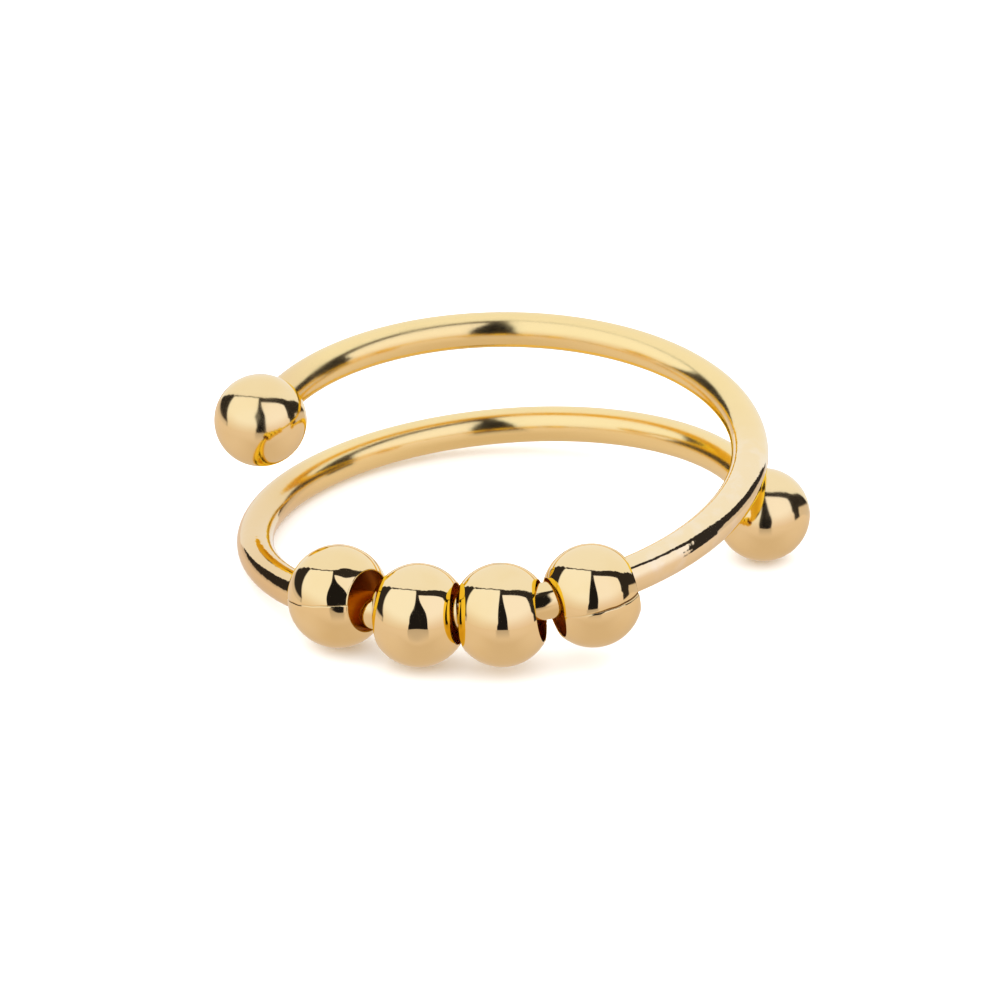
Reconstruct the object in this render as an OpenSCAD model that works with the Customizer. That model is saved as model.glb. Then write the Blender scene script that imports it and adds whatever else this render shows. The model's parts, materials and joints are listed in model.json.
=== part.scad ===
// Open bead ring: a wire coil with a ball on each end and four loose hollow beads on its front.
// It lies on its side as it does on a table. Millimetres, X to the right, Y away from the front, Z up.

/* [Wire] */
// Diameter of the round wire
wire_d = 1.45; // [1.2:0.05:1.6]
// Mean radius of the coil, to the middle of the wire
coil_r = 10; // [8.5:0.1:11.5]
// How far the coil is longer than round from front to back, on the radius
coil_oval = 0.15; // [0:0.05:0.4]
// How much narrower the upper end of the coil is than the lower end, on the radius
coil_taper = 0.38; // [0:0.02:0.6]
// Sideways shift of the coil for each millimetre of height
coil_lean = 0.04; // [0:0.01:0.08]
// Where the wire enters the lower ball, in degrees round from the front
lower_end_angle = -263.6; // [-270:0.2:-255]
// Where the wire enters the upper ball, in degrees round from the front
upper_end_angle = 244.8; // [235:0.2:252]

/* [Rise of the coil] */
// How far the wire has come down from the lower ball just behind it
lower_end_fall = 0.26; // [0.1:0.02:0.5]
// How far the wire dips beside the top of the lower ball where it passes over it
crossing_dip = 0.06; // [0:0.01:0.1]
// Rise of the wire from that crossing to the back of the upper turn
back_rise = 1.07; // [0.6:0.01:1.6]
// Fall of the wire from the back of the upper turn to the upper ball
upper_end_fall = 0.39; // [0:0.01:0.6]

/* [End balls] */
// Diameter of each end ball
ball_d = 3.7; // [3.2:0.1:4.2]
// Depth of the blind hole in each end ball
ball_hole_depth = 2.2; // [1.2:0.1:2.6]
// How much thinner the turned end of the wire is than the wire
peg_step = 0.06; // [0.06:0.01:0.2]
// Clearance between that peg and its hole, and between the wire's shoulder and the ball
peg_gap = 0.015; // [0.01:0.005:0.025]

/* [Beads] */
// Diameter of each bead
bead_d = 4; // [3.6:0.1:4.4]
// Length of each bead from rim to rim
bead_len = 3.12; // [2.8:0.02:3.2]
// Diameter of the hole through each bead
bead_hole_d = 2.35; // [2.3:0.05:2.5]
// Thickness of the bead's sheet metal
bead_wall = 0.15; // [0.1:0.01:0.25]
// Width of the seam where the edges of the sheet meet
seam_w = 0.06; // [0.03:0.01:0.1]
// Depth of that seam
seam_depth = 0.06; // [0.03:0.01:0.08]
// Where the first bead sits, in degrees round from the front
first_bead_angle = -40; // [-46:0.5:-36]

/* [Hidden] */
gold = [0.93, 0.79, 0.5];

wire_r = wire_d / 2;
ball_r = ball_d / 2;
bead_r = bead_d / 2;
hole_r = bead_hole_d / 2;
play = hole_r - wire_r;

// One row for each bead: gap to the bead before it along the wire, lift over the wire as a share of the play,
// turn and tip of its axis from the wire's direction, and angle of its seam round its axis from straight down
bead_rows = [
    [0, 0.76, 2.4, 2.2, -100],
    [0.54, -0.17, 8.4, -0.5, 75],
    [0.135, -0.59, -6.2, 0.6, 40],
    [0.435, -0.63, -2.5, 2.1, -97]
];
gap = 0;
lift = 1;
turn = 2;
tip = 3;
seam = 4;

function bead_angle(i) = i == 0 ? first_bead_angle
    : bead_angle(i - 1) + (bead_len + bead_rows[i][gap]) / (coil_r + coil_oval) * 180 / PI;
function bead_lift(i) = bead_rows[i][lift] * play;

// Height of the wire's middle over the table, at shares of its way from the lower ball to the upper one
sweep = upper_end_angle - lower_end_angle;
crossing_height = ball_d + wire_r - crossing_dip;
back_height = crossing_height + back_rise;
stations = [
    [0, ball_r],
    [0.08, ball_r - lower_end_fall],
    [0.26, wire_r],
    [(first_bead_angle - lower_end_angle) / sweep, bead_r - bead_lift(0)],
    [0.68, crossing_height],
    [0.88, back_height],
    [1, back_height - upper_end_fall]
];

// One smooth curve through all the stations
function weight(i, s, j = 0) = j == len(stations) ? 1
    : (j == i ? 1 : (s - stations[j][0]) / (stations[i][0] - stations[j][0])) * weight(i, s, j + 1);
function height(s, i = 0) = i == len(stations) ? 0 : stations[i][1] * weight(i, s) + height(s, i + 1);

// The middle of the wire at an angle round from the front
function share(a) = (a - lower_end_angle) / sweep;
function radius(a) = coil_r + coil_oval * cos(2 * a) - coil_taper * (share(a) - 0.5);
function wire_point(a) = let (z = height(share(a)))
    [radius(a) * sin(a) - coil_lean * z, -radius(a) * cos(a), z];
function unit(v) = v / norm(v);
function wire_direction(a, step = 0.1) = unit(wire_point(a + step) - wire_point(a - step));

// Each ball sits where the shoulder at the end of the wire all but touches the ball's surface
reach = sqrt(ball_r * ball_r - wire_r * wire_r) + peg_gap;
lower_dir = -wire_direction(lower_end_angle);
upper_dir = wire_direction(upper_end_angle);
lower_ball = wire_point(lower_end_angle) + reach * lower_dir;
upper_ball = wire_point(upper_end_angle) + reach * upper_dir;

function turned(v, a) = [v.x * cos(a) - v.y * sin(a), v.x * sin(a) + v.y * cos(a), v.z];
function bead_centre(i) = wire_point(bead_angle(i)) + [0, 0, bead_lift(i)];
function tipped(v, a) = let (flat = norm([v.x, v.y]), rise = atan2(v.z, flat) + a)
    [v.x / flat * cos(rise), v.y / flat * cos(rise), sin(rise)];
function bead_axis(i) = tipped(turned(wire_direction(bead_angle(i)), bead_rows[i][turn]), bead_rows[i][tip]);

// The ring stands on the table, with the origin under the middle of its box
rings = 126;
sides = 24;
ring_angles = [for (k = [0:rings]) lower_end_angle + sweep * k / rings];
spread = concat(
    [for (a = ring_angles) [wire_point(a), wire_r]],
    [[lower_ball, ball_r], [upper_ball, ball_r]],
    [for (i = [0:3]) [bead_centre(i), bead_r]]
);
function low(k) = min([for (p = spread) p[0][k] - p[1]]);
function high(k) = max([for (p = spread) p[0][k] + p[1]]);
seat = [-(low(0) + high(0)) / 2, -(low(1) + high(1)) / 2, -low(2)];

// The bead's wall is an arc through its rims and its middle, turned round its axis
arc_out = (bead_r * bead_r - hole_r * hole_r - bead_len * bead_len / 4) / (2 * (bead_r - hole_r));
arc_r = bead_r - arc_out;

module along(point, direction) {
    translate(seat + point)
        rotate([0, acos(direction.z), atan2(direction.y, direction.x)])
            children();
}

// Sections of the wire in order, each with its middle, the way it faces and its radius, a narrower peg at each end
peg_r = wire_r - peg_step / 2;
peg_len = reach - ball_r + ball_hole_depth - peg_gap;
sections = concat(
    [for (far = [peg_len, 0]) [wire_point(lower_end_angle) + far * lower_dir, -lower_dir, peg_r]],
    [for (a = ring_angles) [wire_point(a), wire_direction(a), wire_r]],
    [for (far = [0, peg_len]) [wire_point(upper_end_angle) + far * upper_dir, upper_dir, peg_r]]
);
function corners(middle, facing, r) = let (out = unit(cross(facing, [0, 0, 1])), up = cross(out, facing))
    [for (k = [0:sides - 1]) seat + middle + r * (cos(k * 360 / sides) * out + sin(k * 360 / sides) * up)];

module ring_wire() {
    last = (len(sections) - 1) * sides;
    points = [for (s = sections) each corners(s[0], s[1], s[2])];
    walls = [for (k = [0:sides:last - 1], j = [0:sides - 1])
        let (a = k + j, b = k + (j + 1) % sides)
        each [[a, a + sides, b], [b, a + sides, b + sides]]];
    caps = [for (j = [1:sides - 2]) each [[0, j, j + 1], [last, last + j + 1, last + j]]];
    color(gold)
        polyhedron(points, concat(caps, walls), convexity = 6);
}

module end_ball(centre, direction) {
    color(gold)
        along(centre, -direction)
            difference() {
                sphere(d = ball_d, $fn = 96);
                translate([0, 0, ball_r - ball_hole_depth])
                    cylinder(r = peg_r + peg_gap, h = ball_d, $fn = 48);
            }
}

module bead_profile(outer, inner, low) {
    difference() {
        translate([arc_out, 0])
            circle(r = outer, $fn = 96);
        translate([arc_out, 0])
            circle(r = inner, $fn = 96);
        translate([-bead_d, -bead_d])
            square([bead_d + low, 2 * bead_d]);
    }
}

module bead(i) {
    color(gold)
        along(bead_centre(i), bead_axis(i))
            rotate([0, 0, bead_rows[i][seam]])
                difference() {
                    rotate_extrude($fn = 96)
                        bead_profile(arc_r, arc_r - bead_wall, hole_r);
                    rotate([90, 0, 0])
                        linear_extrude(seam_w, center = true)
                            bead_profile(arc_r + bead_wall, arc_r - seam_depth, hole_r - bead_wall);
                }
}

ring_wire();
end_ball(lower_ball, lower_dir);  // end_ball_lower
end_ball(upper_ball, upper_dir);  // end_ball_upper
for (i = [0:3])
    bead(i);
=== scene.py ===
import json
import bpy
import numpy as np
from mathutils import Matrix, Vector


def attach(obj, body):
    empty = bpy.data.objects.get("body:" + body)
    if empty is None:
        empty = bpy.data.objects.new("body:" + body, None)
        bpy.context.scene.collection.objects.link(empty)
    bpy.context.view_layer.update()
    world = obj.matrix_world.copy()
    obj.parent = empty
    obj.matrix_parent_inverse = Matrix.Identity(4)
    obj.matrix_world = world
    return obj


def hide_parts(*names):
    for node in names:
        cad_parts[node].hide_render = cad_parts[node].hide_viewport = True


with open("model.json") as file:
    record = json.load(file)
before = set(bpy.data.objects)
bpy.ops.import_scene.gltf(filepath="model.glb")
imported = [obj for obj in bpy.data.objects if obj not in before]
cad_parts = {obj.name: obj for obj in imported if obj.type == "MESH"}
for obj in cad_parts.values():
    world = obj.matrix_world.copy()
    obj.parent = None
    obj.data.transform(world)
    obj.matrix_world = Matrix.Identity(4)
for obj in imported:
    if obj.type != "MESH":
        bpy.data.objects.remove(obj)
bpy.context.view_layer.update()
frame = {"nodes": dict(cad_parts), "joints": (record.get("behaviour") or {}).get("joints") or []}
mm = 0.001
joints = {joint["name"]: joint for joint in frame["joints"]}
print("frame loaded:", sorted(frame["nodes"]))


class Sock:
    # a socket of a node tree that can be added, multiplied and so on
    def __init__(self, tree, out=None):
        self.tree = tree
        self.out = out

    def node(self, kind, settings=None, inputs=None, output=0):
        # any node: its own settings come first, then values or links for its inputs
        made = self.tree.nodes.new(kind)
        for name, value in (settings or {}).items():
            setattr(made, name, value)
        for name, value in (inputs or {}).items():
            if isinstance(value, Sock):
                self.tree.links.new(value.out, made.inputs[name])
            else:
                made.inputs[name].default_value = value
        return Sock(self.tree, made.outputs[output])

    def math(self, operation, first, second=0.0):
        # one step of arithmetic
        return self.node("ShaderNodeMath", {"operation": operation}, {0: first, 1: second})

    def __add__(self, other):
        return self.math("ADD", self, other)

    def __radd__(self, other):
        return self.math("ADD", other, self)

    def __sub__(self, other):
        return self.math("SUBTRACT", self, other)

    def __rsub__(self, other):
        return self.math("SUBTRACT", other, self)

    def __mul__(self, other):
        return self.math("MULTIPLY", self, other)

    def __rmul__(self, other):
        return self.math("MULTIPLY", other, self)

    def __truediv__(self, other):
        return self.math("DIVIDE", self, other)

    def __neg__(self):
        return self.math("MULTIPLY", self, -1.0)

    def parts(self):
        # the three numbers of this vector
        split = self.node("ShaderNodeSeparateXYZ", None, {0: self}).out.node
        return [Sock(self.tree, out) for out in split.outputs]

    def rises(self, low, high):
        # 0 below low, 1 above high, smooth between; high may lie under low
        if low < high:
            return self.node("ShaderNodeMapRange", {"interpolation_type": "SMOOTHSTEP"},
                             {"Value": self, "From Min": low, "From Max": high})
        return 1 - self.rises(high, low)

    def grows(self, low, high, amount):
        # 0 at low, the amount at high, smooth between
        return self.rises(low, high) * amount

    def passes(self, soft):
        # 0 to 1 as this passes zero, soft by the given amount on either side
        return self.rises(-soft, soft)

    def over(self, below, tint):
        # tint where this mask is 1, the colour below where it is 0
        return self.node("ShaderNodeMix", {"data_type": "RGBA"}, {"Factor": self, 6: below, 7: tint}, 2)

    def tinted(self, tint):
        # this colour times another
        return self.node("ShaderNodeVectorMath", {"operation": "MULTIPLY"}, {0: self, 1: tint})


def rgba(red, green, blue):
    # an opaque colour
    return (red, green, blue, 1.0)


def gridQuads(rows, columns, closeRows=False, closeColumns=False):
    # corner numbers of every cell of a grid of points, row by row
    row = np.arange(rows if closeRows else rows - 1)[:, None]
    column = np.arange(columns if closeColumns else columns - 1)[None, :]
    nextRow = (row + 1) % rows
    nextColumn = (column + 1) % columns
    corners = [row * columns + column, row * columns + nextColumn,
               nextRow * columns + nextColumn, nextRow * columns + column]
    return np.stack(np.broadcast_arrays(*corners), -1).reshape(-1, 4)


def poleFans(rows, columns):
    # triangles that close a grid of rings with a point before its first ring and one after its last
    ring = np.arange(columns)
    onward = (ring + 1) % columns
    last = (rows - 1) * columns
    first = np.stack([np.full(columns, rows * columns), onward, ring], -1)
    final = np.stack([np.full(columns, rows * columns + 1), last + ring, last + onward], -1)
    return np.concatenate([first, final])


def closedRings(rows, columns):
    # all faces of a stack of rings with a point at each end, facing outwards
    return [gridQuads(rows, columns, closeColumns=True)[:, ::-1], poleFans(rows, columns)[:, ::-1]]


def makePiece(name, points, faces, material, body, node, along=None, marks=None):
    # puts points in millimetres and their faces into a smooth mesh that stands for one CAD node
    mesh = bpy.data.meshes.new(name)
    mesh.from_pydata((points * mm).tolist(), [], sum((group.tolist() for group in faces), []))
    mesh.shade_smooth()
    for mark, values in (marks or {}).items():
        layer = mesh.attributes.new(mark, "FLOAT", "POINT")
        layer.data.foreach_set("value", np.ascontiguousarray(values, np.float32))
    if along is not None:
        corner = np.zeros(len(mesh.loops), np.int32)
        mesh.loops.foreach_get("vertex_index", corner)
        uv = mesh.uv_layers.new(name="along")
        uv.data.foreach_set("uv", np.ascontiguousarray(along[corner], np.float32).ravel())
    mesh.materials.append(material)
    piece = bpy.data.objects.new(name, mesh)
    bpy.context.scene.collection.objects.link(piece)
    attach(piece, body)
    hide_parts(node)
    return piece


def unit(vectors):
    # each vector divided by its length
    return vectors / np.linalg.norm(vectors, axis=-1, keepdims=True)


def gentleWaves(x, y, size, count, seed):
    # a sum of plane waves of random direction, with about the given wavelength in the units of x and y
    rng = np.random.default_rng(seed)
    shortest, longest = 0.7, 1.6
    total = np.zeros(np.broadcast(x, y).shape)
    for turn, phase, stretch in zip(rng.uniform(0, np.pi, count), rng.uniform(0, 2 * np.pi, count),
                                    rng.uniform(shortest, longest, count)):
        total += np.sin(2 * np.pi * (x * np.cos(turn) + y * np.sin(turn)) / (size * stretch) + phase)
    return total / np.sqrt(count)


# the waves hardly ever reach this height, so a waver divided by it stays within its size
waveCrest = 3


def dentDepth(normal, radius, dents):
    # each dent is a shallow bell: its depth times e to the minus square of distance over spread, where the
    # distance runs over a round surface from the spot whose outward normal has the dent's heading and rise
    total = np.zeros(normal.shape[:-1])
    for heading, rise, depth, spread in dents:
        turn, lift = np.radians(heading), np.radians(rise)
        spot = np.array([np.sin(turn) * np.cos(lift), -np.cos(turn) * np.cos(lift), np.sin(lift)])
        away = radius * np.arccos(np.clip(normal @ spot, -1, 1))
        total += depth * np.exp(-(away / spread) ** 2)
    return total


# gold plate: pale where it reflects the light once, orange where it reflects itself; sizes and heights in
# millimetres, and each edge is the range of a noise over which its mask goes from 0 to 1
gold = {
    "plate": rgba(0.96, 0.765, 0.43),
    "warmPatch": rgba(0.945, 0.735, 0.385),
    "patchSize": 2.6,
    "patchEdge": (0.42, 0.68),
    "roughness": (0.035, 0.075),
    "ballRoughness": (0.10, 0.15),
    "smearSize": 1.1,
    "smearEdge": (0.35, 0.75),
    "peelSize": 0.45,
    "peelHeight": 0.0006,
    "scratchSize": 1.6,
    "scratchTurn": (0.5, 0.9, 0.3),
    "scratchStretch": (1.0, 14.0, 14.0),
    "scratchHeight": 0.00022,
}
# what the beads add at their seams, hole edges and insides: painted shade along the seam, a painted orange
# reflection on the hole edges, and painted red-brown shade and reflection inside the hole
beadLook = {
    "rimReflection": rgba(0.93, 0.66, 0.30),
    "rimReflectionShare": 0.7,
    "inside": rgba(0.62, 0.24, 0.06),
    "seamShade": rgba(0.30, 0.15, 0.05),
    "edgeRoughness": 0.06,
    "insideRoughness": 0.30,
    "seamRoughness": 0.3,
}
# what the wire adds: hairlines from drawing and tints that change round the ring, which are painted light: a
# paler painted highlight at the right front, a deeper orange painted reflection at the back and darker
# painted shade on the left. Each zone goes from nothing to its full share between two places to the right of
# the middle or behind it, in millimetres
wireLook = {
    "grain": 0.9,
    "grainTurn": 0.25,
    "hairlineStretch": (0.35, 14.0, 1.0),
    "hairlineScale": 6.0,
    "pale": rgba(0.98, 0.805, 0.51),
    "paleRight": (1, 6),
    "paleFront": (2, -2),
    "paintedHighlightShare": 0.8,
    "paintedHighlightCloud": rgba(0.985, 0.86, 0.66),
    "cloudSize": 0.9,
    "cloudEdge": (0.45, 0.70),
    "cloudShare": 0.6,
    "back": rgba(1.0, 0.79, 0.375),
    "backZone": (-3, 6),
    "backShare": 0.8,
    "backRoughness": 0.12,
    "paintedShadeLeft": rgba(0.85, 0.61, 0.315),
    "paintedShadeZone": (-7, -9.5),
    "paintedShadeShare": 0.7,
    "peelHeight": 0.010,
    "backSmooth": 0.85,
    "frontZone": (-8.4, -9.0),
    "frontSmooth": 0.92,
}


def goldMaterial(name, shine=gold["roughness"], hasSeam=False, drawn=False):
    # polished plate with soft patches, faint orange peel and hairline scratches: noise picks the tint between
    # plate and patch and the roughness between low and high, and the bump is peel plus scratches
    material = bpy.data.materials.new(name)
    material.use_nodes = True
    tree = material.node_tree
    tree.nodes.clear()
    start = Sock(tree)
    place = start.node("ShaderNodeTexCoord", output="Object")

    def noise(size, detail, vector=place):
        # noise whose lumps have about the given size
        settings = {"Vector": vector, "Scale": 1 / (size * mm), "Detail": detail}
        return start.node("ShaderNodeTexNoise", None, settings, "Fac")

    def mark(name):
        # a number that the mesh carries at each point
        return start.node("ShaderNodeAttribute", {"attribute_name": name}, output="Fac")

    def zone(axis, name):
        # 0 to 1 between the two places that the wire's look names
        low, high = wireLook[name]
        return axis.rises(low * mm, high * mm)

    patches = noise(gold["patchSize"], 3).rises(*gold["patchEdge"])
    tint = patches.over(gold["plate"], gold["warmPatch"])
    low, high = shine
    smears = noise(gold["smearSize"], 4).rises(*gold["smearEdge"])
    roughness = low + smears * (high - low)
    peel = gold["peelHeight"]
    if drawn:
        # hairlines left by drawing run along the wire
        along = start.node("ShaderNodeUVMap", {"uv_map": "along"})
        stretched = along.tinted(wireLook["hairlineStretch"])
        settings = {"Vector": stretched, "Scale": wireLook["hairlineScale"], "Detail": 3.0}
        lines = start.node("ShaderNodeTexNoise", None, settings, "Fac")
        right, back, _ = place.parts()
        # painted highlight: the right front of the wire is tinted paler, with paler clouds in it
        pale = zone(right, "paleRight") * zone(back, "paleFront")
        tint = (pale * wireLook["paintedHighlightShare"]).over(tint, wireLook["pale"])
        clouds = noise(wireLook["cloudSize"], 3).rises(*wireLook["cloudEdge"])
        tint = (pale * clouds * wireLook["cloudShare"]).over(tint, wireLook["paintedHighlightCloud"])
        behind = zone(back, "backZone")
        # painted reflection: the back of the ring is tinted a deeper orange, as its own gold light would
        # colour it
        tint = (behind * wireLook["backShare"]).over(tint, wireLook["back"])
        # painted shade: the left of the ring is tinted darker
        tint = (zone(right, "paintedShadeZone") * wireLook["paintedShadeShare"]).over(tint, wireLook["paintedShadeLeft"])
        roughness = roughness + behind * wireLook["backRoughness"]
        smooth = behind * wireLook["backSmooth"] + zone(back, "frontZone") * wireLook["frontSmooth"]
        peel = (1 - smooth) * wireLook["peelHeight"]
    else:
        # hairlines from handling run every way
        turning = {"Vector": place, "Rotation": gold["scratchTurn"], "Scale": gold["scratchStretch"]}
        lines = noise(gold["scratchSize"], 3, start.node("ShaderNodeMapping", None, turning))
    height = noise(gold["peelSize"], 2.0) * peel + lines * gold["scratchHeight"]
    if hasSeam:
        inside = mark("inside")
        edge = mark("rim")
        seam = mark("seam")
        # painted reflection: the hole edges are tinted orange, as gold mirrored in them would look
        tint = (edge * beadLook["rimReflectionShare"]).over(tint, beadLook["rimReflection"])
        # painted shade and reflection: the hole's inside is tinted red-brown, as gold light bouncing inside
        # it would colour it
        tint = inside.over(tint, beadLook["inside"])
        # painted shade: the seam groove is tinted dark brown
        tint = seam.over(tint, beadLook["seamShade"])
        roughness = (roughness + inside * beadLook["insideRoughness"] + seam * beadLook["seamRoughness"]
                     + edge * beadLook["edgeRoughness"])
    bump = start.node("ShaderNodeBump", None, {"Height": height, "Strength": 1.0, "Distance": mm})
    shader = start.node("ShaderNodeBsdfPrincipled", None,
                        {"Base Color": tint, "Metallic": 1.0, "Roughness": roughness, "Normal": bump})
    if drawn:
        shader.out.node.inputs["Anisotropic"].default_value = wireLook["grain"]
        shader.out.node.inputs["Anisotropic Rotation"].default_value = wireLook["grainTurn"]
    output = tree.nodes.new("ShaderNodeOutputMaterial")
    tree.links.new(shader.out, output.inputs["Surface"])
    return material


# the coil, with the same sizes as the CAD, in millimetres and degrees
coil = {
    "wireRadius": 0.725,
    "radius": 10.0,
    "oval": 0.15,
    "taper": 0.38,
    "lean": 0.04,
    "lowerEnd": -263.6,
    "upperEnd": 244.8,
    "ballRadius": 1.85,
    "ballGap": 0.015,
    "firstBead": -40.0,
    "firstBeadHeight": 2.0,
    "firstBeadLift": 0.342,
    "lowerFall": 0.26,
    "crossingDip": 0.06,
    "backRise": 1.07,
    "upperFall": 0.39,
    "rings": 900,
    "sides": 64,
    "insideBall": 0.5,
    "insideSteps": (1, 0.1, 5),      # shares of insideBall at the deepest and last ring, and how many rings
    "waver": 0.003,
    "waveSize": 3.2,
    "waveWidth": 0.7,
    "waves": 7,
    "waveSeed": 4,
}


def coilHeight(share):
    # one polynomial through the heights of the wire at shares of its way from the lower ball to the upper
    ball = coil["ballRadius"]
    wire = coil["wireRadius"]
    crossing = 2 * ball + wire - coil["crossingDip"]
    back = crossing + coil["backRise"]
    sweep = coil["upperEnd"] - coil["lowerEnd"]
    shares = [0, 0.08, 0.26, (coil["firstBead"] - coil["lowerEnd"]) / sweep, 0.68, 0.88, 1]
    heights = [ball, ball - coil["lowerFall"], wire, coil["firstBeadHeight"] - coil["firstBeadLift"],
               crossing, back, back - coil["upperFall"]]
    return np.polyval(np.polyfit(shares, heights, len(shares) - 1), share)


def coilPoint(angle):
    # a slightly oval, tapering, leaning circle, seen from above, at the height of its share of the way
    share = (angle - coil["lowerEnd"]) / (coil["upperEnd"] - coil["lowerEnd"])
    turn = np.radians(angle)
    radius = coil["radius"] + coil["oval"] * np.cos(2 * turn) - coil["taper"] * (share - 0.5)
    height = coilHeight(share)
    return np.stack([radius * np.sin(turn) - coil["lean"] * height, -radius * np.cos(turn), height], -1)


def coilDirection(angle, step=0.1):
    # from the coil's point a small step before the angle to the point a small step after it
    return unit(coilPoint(angle + step) - coilPoint(angle - step))


firstCentre = np.array(joints["bead_1_spin"]["pos_m"]) / mm
seat = firstCentre - coilPoint(np.array(coil["firstBead"])) - [0, 0, coil["firstBeadLift"]]


def coilEnd(angle, outward):
    # where the wire stops, the way it points there and the middle of the ball it holds
    point = seat + coilPoint(np.array(angle))
    direction = outward * coilDirection(np.array(angle))
    reach = np.sqrt(coil["ballRadius"] ** 2 - coil["wireRadius"] ** 2) + coil["ballGap"]
    return point, direction, point + reach * direction


def wirePath():
    # the middle line of the coil, carried straight on a little way into each ball
    lowerPoint, lowerDirection, _ = coilEnd(coil["lowerEnd"], -1)
    upperPoint, upperDirection, _ = coilEnd(coil["upperEnd"], 1)
    middle = seat + coilPoint(np.linspace(coil["lowerEnd"], coil["upperEnd"], coil["rings"]))
    steps = np.linspace(*coil["insideSteps"])[:, None] * coil["insideBall"]
    lower = lowerPoint + steps * lowerDirection
    upper = upperPoint + steps[::-1] * upperDirection
    return np.concatenate([lower, middle, upper])


def ringWire():
    # a round section carried along the path, its radius wavering by a few microns, closed at both ends
    path = wirePath()
    direction = unit(np.gradient(path, axis=0))
    out = unit(np.cross(direction, [0, 0, 1]))
    up = np.cross(out, direction)
    way = np.concatenate([[0], np.cumsum(np.linalg.norm(np.diff(path, axis=0), axis=1))])
    around = np.arange(coil["sides"]) * 2 * np.pi / coil["sides"]
    waves = gentleWaves(way[:, None], coil["waveWidth"] * np.sin(around), coil["waveSize"], coil["waves"],
                        coil["waveSeed"])
    radius = coil["wireRadius"] - coil["waver"] + coil["waver"] * waves / waveCrest
    outward = np.cos(around)[:, None] * out[:, None] + np.sin(around)[:, None] * up[:, None]
    points = path[:, None] + radius[..., None] * outward
    ends = np.stack([path[0], path[-1]])
    along = np.stack(np.broadcast_arrays(way[:, None], around / (2 * np.pi)), -1).reshape(-1, 2)
    along = np.concatenate([along, [[0, 0], [way[-1], 0]]])
    return makePiece("ringWire", np.concatenate([points.reshape(-1, 3), ends]), closedRings(*radius.shape),
                     goldMaterial("drawnGold", drawn=True), "band", "ring_wire", along)


# end balls, in millimetres; a dent is given by heading from the front, rise, depth and spread
ball = {
    "rows": 111,
    "columns": 224,
    "skin": 0.005,
    "waver": 0.0035,
    "waveSize": 1.7,
    "waves": 9,
    "lowerSeed": 11,
    "lowerDents": [(1.0, 15.0, 0.012, 0.22)],
    "upperSeed": 12,
    "upperDents": [(-1.0, 28.0, 0.010, 0.19)],
}


def endBall(name, centre, node, seed, dents):
    # a sphere from pole to pole, its radius wavering by a few microns and less by the depth of its dents
    polar = (np.arange(ball["rows"]) + 1)[:, None] * np.pi / (ball["rows"] + 1)
    around = np.arange(ball["columns"])[None, :] * 2 * np.pi / ball["columns"]
    normal = np.stack(np.broadcast_arrays(np.sin(polar) * np.cos(around), np.sin(polar) * np.sin(around),
                                          np.cos(polar)), -1)
    size = coil["ballRadius"] - ball["skin"]
    waves = gentleWaves(normal[..., 0] * size + normal[..., 2], normal[..., 1] * size, ball["waveSize"],
                        ball["waves"], seed)
    radius = size - ball["waver"] + ball["waver"] * waves / waveCrest - dentDepth(normal, size, dents)
    points = centre + radius[..., None] * normal
    poles = centre + (size - ball["waver"]) * np.array([[0, 0, 1], [0, 0, -1]])
    return makePiece(name, np.concatenate([points.reshape(-1, 3), poles]), closedRings(*radius.shape),
                     ballGold, "band", node)


# hollow beads, in millimetres: sheet formed to a barrel, with its edges butted at a seam
bead = {
    "radius": 2.0,
    "length": 3.12,
    "holeRadius": 1.175,
    "wall": 0.15,
    "edgeRadius": 0.035,
    "columns": 288,
    "crowding": (0.16, 0.84),      # shares of even and of cubed spacing round the axis
    "outerRows": 104,
    "edgeRows": 8,
    "wallRows": 4,
    "innerRows": 40,
    "wallInside": (0.3, 0.4),      # how much of the painted red-brown inside shade the hole's wall takes at its edge, and how much more further in
    "seamDepth": 0.045,
    "seamWander": [(0.02, 2.1, 1), (0.008, 9, 2)],      # size, speed and phase of each wave in the seam
    "seamChange": (-0.45, 6),      # where the left opening gives way to the right one, and how fast
    "seamShadeWidth": 0.7,      # the painted seam shade's width, as a share of the seam's width
    "ledgeReach": 0.3,
    "dropReach": 0.5,
    "waver": 0.005,
    "waveSize": 1.6,
    "waveLean": 0.5,
    "waves": 9,
    "firstSeed": 21,
}
# one row for each bead: its joint, body and node, the angle of its seam from straight down, how open the seam
# is at its left and right end, its width, how far the lip above it drops inwards, then the height, place and
# spread of a short ledge that stands proud below it, and the bead's dents as for the balls
beadRows = [
    {"joint": "bead_1_spin", "body": "first_bead", "node": "bead_1", "seam": -100, "open": (0.5, 0.25),
     "width": 0.022, "drop": 0.007, "ledge": (0.06, 1.25, 0.5),
     "dents": [(5.0, 21.5, 0.084, 0.57), (17.0, 49.5, 0.030, 0.34)]},
    {"joint": "bead_2_spin", "body": "second_bead", "node": "bead_2", "seam": 75, "open": (0.6, 0.8),
     "width": 0.022, "drop": 0.012, "ledge": (0.0, 0.0, 1.0),
     "dents": [(-1.5, 21.5, 0.042, 0.38), (-1.5, 3.5, 0.048, 0.38)]},
    {"joint": "bead_3_spin", "body": "third_bead", "node": "bead_3", "seam": 40, "open": (0.7, 0.5),
     "width": 0.022, "drop": 0.008, "ledge": (0.0, 0.0, 1.0), "dents": []},
    {"joint": "bead_4_spin", "body": "fourth_bead", "node": "bead_4", "seam": -97, "open": (0.1, 1.0),
     "width": 0.036, "drop": 0.042, "ledge": (0.0, 0.0, 1.0), "dents": [(52.0, 14.0, 0.018, 0.36)]},
]


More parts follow.
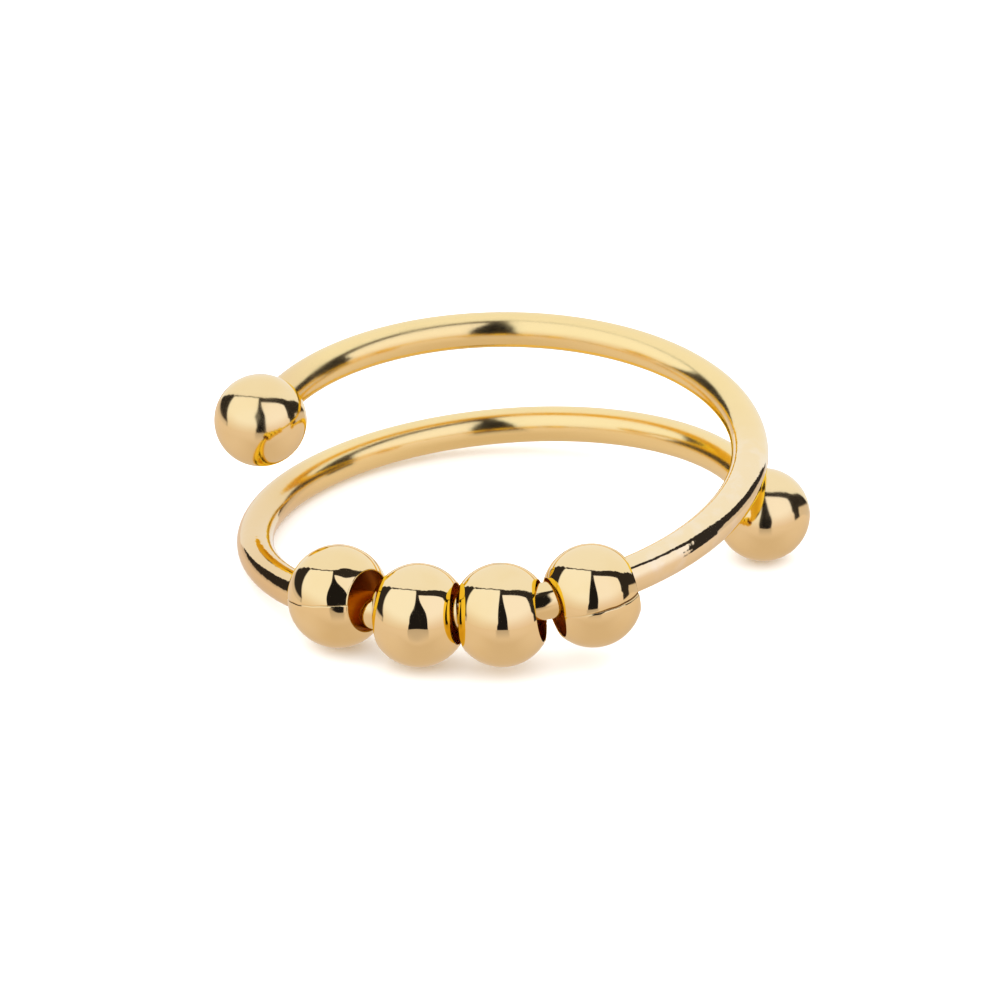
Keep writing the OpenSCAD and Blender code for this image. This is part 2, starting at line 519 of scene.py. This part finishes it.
def beadProfile():
    # once round the wall's section, as distance from the axis and place along it: an arc outside, a rounded
    # edge, a short straight wall in the hole and an arc inside, mirrored to the other rim; with the outward
    # normal and how far each point belongs to the inside, to the edge and to the outside
    rim = bead["holeRadius"]
    edge = bead["edgeRadius"]
    bulge = (bead["radius"] ** 2 - rim ** 2 - bead["length"] ** 2 / 4) / (2 * (bead["radius"] - rim))
    outerArc = bead["radius"] - bulge
    innerArc = outerArc - bead["wall"]
    outerEnd = np.arccos((rim + edge - bulge) / (outerArc - edge))
    innerEnd = np.arccos((rim - bulge) / innerArc)
    edgePlace = (outerArc - edge) * np.sin(outerEnd)
    outer = np.linspace(0, outerEnd, bead["outerRows"] // 2)
    turn = np.linspace(outerEnd, np.pi, bead["edgeRows"] + 2)[1:-1]
    wall = np.linspace(edgePlace, innerArc * np.sin(innerEnd), bead["wallRows"])
    inner = np.linspace(innerEnd, 0, bead["innerRows"] // 2)[1:]
    distance = np.concatenate([bulge + outerArc * np.cos(outer), rim + edge + edge * np.cos(turn),
                               rim + 0 * wall, bulge + innerArc * np.cos(inner)])
    place = np.concatenate([outerArc * np.sin(outer), edgePlace + edge * np.sin(turn), wall,
                            innerArc * np.sin(inner)])
    normal = np.concatenate([outer, turn, np.pi + 0 * wall, np.pi + inner])
    wallShare = np.arange(bead["wallRows"]) / (bead["wallRows"] - 1)
    insideStart, insideGrowth = bead["wallInside"]
    isInside = np.concatenate([0 * outer, 0 * turn, insideStart + insideGrowth * wallShare, 1 + 0 * inner])
    isEdge = np.concatenate([0 * outer, 1 + 0 * turn, 1 - wallShare / 2, 0 * inner])
    isOuter = np.concatenate([1 + 0 * outer, (np.pi - turn) / (np.pi - outerEnd), 0 * wall, 0 * inner])
    # the other half, without the two points that both halves share
    mirror = slice(-2, 0, -1)
    return [np.concatenate([half, half[mirror] * sign])[:, None] for half, sign in
            ((distance, 1), (place, -1), (normal, -1), (isInside, 1), (isEdge, 1), (isOuter, 1))]


def beadFrame(row):
    # the bead's centre and its three directions: down, to the left of the axis, and along the axis
    joint = joints[row["joint"]]
    axis = unit(np.array(joint["axis"]))
    turn = np.arctan2(axis[1], axis[0])
    flat = np.hypot(axis[0], axis[1])
    down = np.array([np.cos(turn) * axis[2], np.sin(turn) * axis[2], -flat])
    return np.array(joint["pos_m"]) / mm, down, np.cross(axis, down), axis


def makeBead(row, seed):
    # the profile carried round the axis, with the places round it crowded at the seam; the outside is pushed
    # inwards by the groove, the step between the lips, the waver and the dents
    distance, place, angle, isInside, isEdge, isOuter = beadProfile()
    evenly = (np.arange(bead["columns"]) + 0.5) / bead["columns"] * 2 - 1
    straight, cubed = bead["crowding"]
    around = np.pi * (straight * evenly + cubed * evenly ** 3)[None, :]
    # the seam wanders a little from rim to rim, opens more at one end, and one lip of it stands proud
    line = sum(size * np.sin(speed * place + phase * seed) for size, speed, phase in bead["seamWander"])
    fromSeam = distance * around - line
    leftOpen, rightOpen = row["open"]
    changePlace, changeSpeed = bead["seamChange"]
    opened = leftOpen + (rightOpen - leftOpen) / (1 + np.exp(-(place - changePlace) * changeSpeed))
    groove = opened * np.exp(-(fromSeam / row["width"]) ** 2)
    height, middle, reach = row["ledge"]
    ledge = height * np.exp(-((place - middle) / reach) ** 2 - np.abs(fromSeam) / bead["ledgeReach"])
    drop = opened * row["drop"] * np.exp(-np.abs(fromSeam) / bead["dropReach"])
    step = np.where(fromSeam > 0, -ledge, drop)
    waves = gentleWaves(distance * np.sin(around) + place,
                        distance * np.cos(around) - bead["waveLean"] * place,
                        bead["waveSize"], bead["waves"], seed)
    waver = bead["waver"] * waves / waveCrest
    centre, down, left, axis = beadFrame(row)
    turned = around + np.radians(row["seam"])
    outward = np.cos(turned)[..., None] * down + np.sin(turned)[..., None] * left
    normal = np.cos(angle)[..., None] * outward + np.sin(angle)[..., None] * axis
    dents = dentDepth(normal, bead["radius"], row["dents"])
    inwards = isOuter * (bead["seamDepth"] * groove + step + bead["waver"] - waver + dents)
    radial = distance - inwards * np.cos(angle)
    axial = place - inwards * np.sin(angle) + 0 * around
    points = centre + radial[..., None] * outward + axial[..., None] * axis
    rows, columns = radial.shape
    seamShadeWidth = bead["seamShadeWidth"] * row["width"]
    # the inside and seam marks place painted shade, the rim mark a painted reflection
    marks = {
        "inside": (isInside + 0 * around).ravel(),
        "rim": (isEdge + 0 * around).ravel(),
        "seam": (isOuter * opened * np.exp(-(fromSeam / seamShadeWidth) ** 2)).ravel(),
    }
    return makePiece("hollow_" + row["node"], points.reshape(-1, 3), [gridQuads(rows, columns, True, True)],
                     beadGold, row["body"], row["node"], None, marks)


wire = ringWire()
print("wire made:", len(wire.data.polygons), "faces")
ballGold = goldMaterial("ballGold", gold["ballRoughness"])
lowerCentre = coilEnd(coil["lowerEnd"], -1)[2]
upperCentre = coilEnd(coil["upperEnd"], 1)[2]
endBall("lowerBall", lowerCentre, "end_ball_lower", ball["lowerSeed"], ball["lowerDents"])
endBall("upperBall", upperCentre, "end_ball_upper", ball["upperSeed"], ball["upperDents"])
print("end balls made")
beadGold = goldMaterial("beadGold", hasSeam=True)
for number, row in enumerate(beadRows):
    made = makeBead(row, number + bead["firstSeed"])
    print("bead made:", made.name, len(made.data.polygons), "faces")


# a pale table, in metres, which takes the soft light but isn't mirrored: the gold mirrors the table that
# belongs to the studio
table = {
    "size": 3.0,
    "gap": 0.00002,
    "tint": rgba(0.93, 0.93, 0.925),
    "speckle": 0.012,
    "speckleScale": 900.0,
    "roughness": 0.9,
}


def makeTable():
    # one large square just under the ring, its tint a little darker where a fine noise is high
    square = np.array([[-1, -1, 0], [1, -1, 0], [1, 1, 0], [-1, 1, 0]])
    corners = square * table["size"] - [0, 0, table["gap"]]
    mesh = bpy.data.meshes.new("table")
    mesh.from_pydata(corners.tolist(), [], [[0, 1, 2, 3]])
    material = bpy.data.materials.new("palePaper")
    material.use_nodes = True
    start = Sock(material.node_tree)
    place = start.node("ShaderNodeTexCoord", output="Object")
    settings = {"Vector": place, "Scale": table["speckleScale"]}
    grain = start.node("ShaderNodeTexNoise", None, settings, "Fac")
    shader = material.node_tree.nodes["Principled BSDF"]
    darker = rgba(*[value - table["speckle"] for value in table["tint"][:3]])
    material.node_tree.links.new(grain.over(table["tint"], darker).out, shader.inputs["Base Color"])
    shader.inputs["Roughness"].default_value = table["roughness"]
    shader.inputs["Specular IOR Level"].default_value = 0.0
    mesh.materials.append(material)
    thing = bpy.data.objects.new("table", mesh)
    bpy.context.scene.collection.objects.link(thing)
    thing.visible_glossy = False


# soft studio light: a round light overhead, a wall of light on each side of the photographer, a dark slit
# between the walls and dark gaps round them. Places are in degrees: side to the right, roll from the front
# over the top, compass round from the front and rise from the level up. A pair is where a soft edge begins
# and ends, a third number how far something moves over it, and a lean how far an end moves out for each
# degree of rise. The overhead and margin edges are shares of the round light's reach
studio = {
    "overhead": rgba(0.935, 0.94, 0.98),
    "overheadMiddle": (5.5, 131.0),
    "overheadReach": (50.5, 49.5, 78.0),
    "overheadEdge": (1.005, 0.985),
    "marginEdge": (1.03, 1.055),
    "raggedScale": 4.5,
    "overheadRagged": 0.18,
    "marginRagged": 0.11,
    "sharp": 0.8,
    "slit": rgba(0.013, 0.012, 0.014),
    "slitLeft": -7.5,
    "slitLeftTop": (15, 80, 5.5),
    "slitLeftFoot": (9, -2, 2.5),
    "slitRight": 14.5,
    "slitRightTop": (8, 76, 11.5),
    "slitDarkLeft": (-14, -10),
    "slitDarkRight": (22, 16),
    "slitDarkTop": (64, 50),
    "leftWall": rgba(1.0, 1.02, 1.085),
    "leftEnd": 87.5,
    "leftEndLean": 0.8,
    "leftEndSoft": 3,
    "rightWall": rgba(1.0, 0.995, 1.12),
    "rightTop": 69,
    "rightTopBend": (8, 0.0072),      # past this side the top rises by this times the square of the way
    "rightEnd": 73,
    "rightEndLean": 0.38,
    "rightEndFoot": (12, 2, 6.5),
    "rightEndSoft": 1.5,
    "backWall": rgba(0.80, 0.80, 0.82),
    "backWallEdge": (154, 164),
    "gap": rgba(0.030, 0.026, 0.027),
    "haze": rgba(0.70, 0.60, 0.54),
    "rightHaze": 97,
    "rightHazeLean": 0.7,
    "rightHazeSlope": (100, 0.45),
    "rightHazeTop": (8, 5),
    "leftHaze": 89,
    "leftHazeSoft": 4,
    "leftHazeTop": (0, -4),
    "lowWalls": rgba(0.83, 0.70, 0.575),
    "wallFade": (-12, 23),
    "farTable": rgba(0.815, 0.685, 0.60),
    "nearTable": rgba(0.69, 0.555, 0.44),
    "tableReach": (-48, -12),
    "tableMiddle": 5,
    "tableSides": (8, 60, 0.8),
    "tableEdge": (-7.5, -9.5),
    "tableDrop": (98, 145, 13),
    "slitOnTable": (-34, -9),
    "slitOnTableMargin": 2,
    "slitOnTableSoft": 3,
    "slitOnTableShare": 0.34,
    "again": rgba(1.0, 0.84, 0.10),
    "secondMirror": (1.4, 1.6),      # between the first and the second bounce
    "roomLight": rgba(2.3, 2.3, 2.3),
}


def studioWorld():
    # each part of the studio is a mask over all directions, 1 inside it, and lies over the parts before it
    world = bpy.data.worlds.new("studio")
    world.use_nodes = True
    tree = world.node_tree
    tree.nodes.clear()
    start = Sock(tree)
    towards = start.node("ShaderNodeTexCoord", output="Generated")
    across, away, height = towards.parts()
    degrees = 180 / np.pi
    side = start.math("ARCSINE", across) * degrees
    roll = 90 + start.math("ARCTAN2", away, height) * degrees
    compass = start.math("ARCTAN2", across, -away) * degrees
    rise = start.math("ARCSINE", height) * degrees
    lifted = start.math("MAXIMUM", rise, 0.0)
    settings = {"Vector": towards, "Scale": studio["raggedScale"], "Detail": 3.0}
    ragged = start.node("ShaderNodeTexNoise", None, settings, "Fac") - 0.5

    # the light overhead is round, and longer behind than in front, with a thin dark margin round it
    sideMiddle, rollMiddle = studio["overheadMiddle"]
    sideReach, frontReach, backReach = studio["overheadReach"]
    sideShare = (side - sideMiddle) / sideReach
    frontShare = start.math("MINIMUM", roll - rollMiddle, 0.0) / frontReach
    backShare = start.math("MAXIMUM", roll - rollMiddle, 0.0) / backReach
    fromMiddle = start.math("SQRT", sideShare * sideShare + frontShare * frontShare + backShare * backShare)
    overhead = (fromMiddle + ragged * studio["overheadRagged"]).rises(*studio["overheadEdge"])
    outside = (fromMiddle + ragged * studio["marginRagged"]).rises(*studio["marginEdge"])

    # the walls end at the slit between them and at a compass bearing that leans outwards with rise
    slitLeft = studio["slitLeft"] + roll.grows(*studio["slitLeftTop"]) - roll.grows(*studio["slitLeftFoot"])
    slitRight = studio["slitRight"] - roll.grows(*studio["slitRightTop"])
    leftEnd = compass + studio["leftEnd"] + lifted * studio["leftEndLean"]
    left = (slitLeft - side).passes(studio["sharp"]) * leftEnd.passes(studio["leftEndSoft"]) * outside
    bendStart, bend = studio["rightTopBend"]
    pastBend = start.math("MAXIMUM", side - bendStart, 0.0)
    rightTop = studio["rightTop"] + start.math("POWER", pastBend, 2.0) * bend
    rightEnd = studio["rightEnd"] + lifted * studio["rightEndLean"] + rise.grows(*studio["rightEndFoot"])
    right = ((side - slitRight).passes(studio["sharp"]) * (rightEnd - compass).passes(studio["rightEndSoft"])
             * (rightTop - roll).passes(studio["sharp"]))
    behind = start.math("ABSOLUTE", compass).rises(*studio["backWallEdge"]) * outside
    slit = (side.rises(*studio["slitDarkLeft"]) * side.rises(*studio["slitDarkRight"])
            * roll.rises(*studio["slitDarkTop"]))

    # low down beyond the walls the gap is hazy
    slopeStart, slope = studio["rightHazeSlope"]
    hazeStart = studio["rightHaze"] + lifted * studio["rightHazeLean"]
    rightHaze = ((compass - hazeStart).passes(studio["rightEndSoft"])
                 * (rise + (compass - slopeStart) * slope).rises(*studio["rightHazeTop"]))
    leftSoft = studio["leftHazeSoft"]
    leftHaze = (compass + studio["leftHaze"]).rises(leftSoft, -leftSoft) * rise.rises(*studio["leftHazeTop"])

    # the walls grow warmer and dimmer towards the table, and the table does under the ring
    wallTint = rise.rises(*studio["wallFade"]).over(studio["lowWalls"], rgba(1, 1, 1))
    toSide = start.math("ABSOLUTE", side - studio["tableMiddle"]).grows(*studio["tableSides"])
    reach = start.math("MAXIMUM", rise.rises(*studio["tableReach"]), toSide)
    tableLight = reach.over(studio["nearTable"], studio["farTable"])
    margin = studio["slitOnTableMargin"]
    soft = studio["slitOnTableSoft"]
    slitOnTable = ((slitLeft - margin - side).rises(soft, -soft)
                   * (side - slitRight - margin).rises(soft, -soft) * rise.rises(*studio["slitOnTable"]))
    tableLight = (slitOnTable * studio["slitOnTableShare"]).over(tableLight, studio["slit"])

    light = (rightHaze + leftHaze).over(studio["gap"], studio["haze"])
    light = slit.over(light, studio["slit"])
    light = behind.over(light, studio["backWall"])
    light = left.over(light, wallTint.tinted(studio["leftWall"][:3]))
    light = right.over(light, wallTint.tinted(studio["rightWall"][:3]))
    light = overhead.over(light, studio["overhead"])
    light = (rise + compass.grows(*studio["tableDrop"])).rises(*studio["tableEdge"]).over(light, tableLight)
    # what the gold sees of itself is a deeper gold
    again = start.node("ShaderNodeLightPath", output="Glossy Depth").rises(*studio["secondMirror"])
    light = light.tinted(again.over(rgba(1, 1, 1), studio["again"]))
    # the table gets an even light, and only mirrors see the studio
    mirrored = start.node("ShaderNodeLightPath", output="Is Glossy Ray")
    light = mirrored.over(studio["roomLight"], light)
    background = start.node("ShaderNodeBackground", None, {"Color": light, "Strength": 1.0})
    output = tree.nodes.new("ShaderNodeOutputWorld")
    tree.links.new(background.out, output.inputs["Surface"])
    world.cycles.sampling_method = "NONE"
    bpy.context.scene.world = world


# the camera stands as the photographer's did, in millimetres, degrees and pixels
camera = {
    "target": (-0.3113, 0.5704, 3.0206),
    "distance": 260.0,
    "rise": 24.43,
    "roll": -1.12,
    "targetPixel": (503.63, 486.17),
    "pixelsPerMm": 25.407,
    "frame": 1000,
    "sensor": 36,
    "sees": (10, 10000),
}


def makeCamera():
    # the lens is as long as the distance times the target's size on the sensor over its real size
    rise = np.radians(camera["rise"])
    roll = np.radians(camera["roll"])
    ahead = np.array([0, np.cos(rise), -np.sin(rise)])
    level = np.array([1.0, 0, 0])
    upright = np.cross(level, ahead)
    right = np.cos(roll) * level + np.sin(roll) * upright
    up = np.cos(roll) * upright - np.sin(roll) * level
    spot = (np.array(camera["target"]) - camera["distance"] * ahead) * mm
    lens = bpy.data.cameras.new("camera")
    lens.sensor_width = camera["sensor"]
    lens.lens = camera["pixelsPerMm"] * camera["distance"] / camera["frame"] * lens.sensor_width
    lens.shift_x = 0.5 - camera["targetPixel"][0] / camera["frame"]
    lens.shift_y = camera["targetPixel"][1] / camera["frame"] - 0.5
    lens.clip_start, lens.clip_end = [distance * mm for distance in camera["sees"]]
    holder = bpy.data.objects.new("camera", lens)
    turned = Matrix(np.stack([right, up, -ahead], 1).tolist()).to_4x4()
    holder.matrix_world = Matrix.Translation(Vector(spot)) @ turned
    bpy.context.scene.collection.objects.link(holder)
    bpy.context.scene.camera = holder


makeTable()
studioWorld()
makeCamera()
bpy.context.scene.view_settings.view_transform = "Standard"
print("table, light and camera made")
